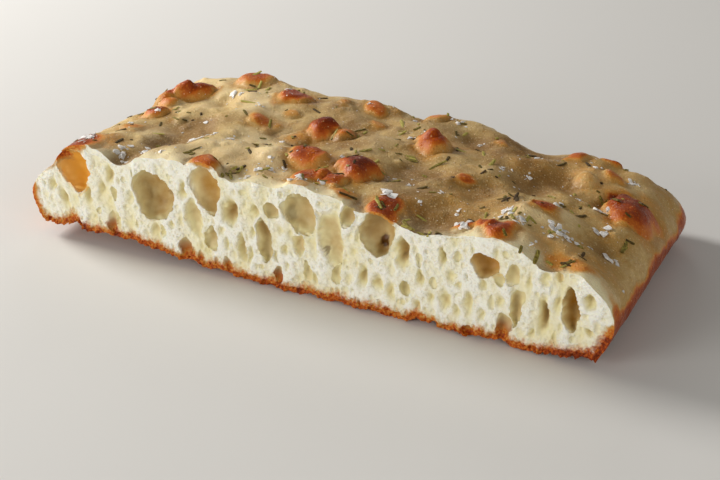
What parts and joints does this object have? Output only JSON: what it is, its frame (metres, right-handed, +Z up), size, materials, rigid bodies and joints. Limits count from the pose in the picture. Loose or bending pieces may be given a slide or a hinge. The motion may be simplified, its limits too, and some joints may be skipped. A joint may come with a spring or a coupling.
{
  "type": "focaccia",
  "caption": "Half of a square focaccia with an open crumb along its cut side, a blistered golden top crust, rosemary and flaky salt.",
  "frame": {"origin": "on the table under the middle of the slab's box", "axes": "+X along the cut side towards its browner, thinner end, +Y from the cut side to the crust at the back, +Z up out of the top crust"},
  "size_m": [0.22, 0.104, 0.0434],
  "materials": {
    "bread": "baked crust with an oiled sheen on top, open matte crumb on the cut side",
    "rosemary": "dry matte leaf",
    "salt": "frosty crystal"
  },
  "bodies": {
    "root": {"focaccia": "bread"}
  },
  "joints": []
}
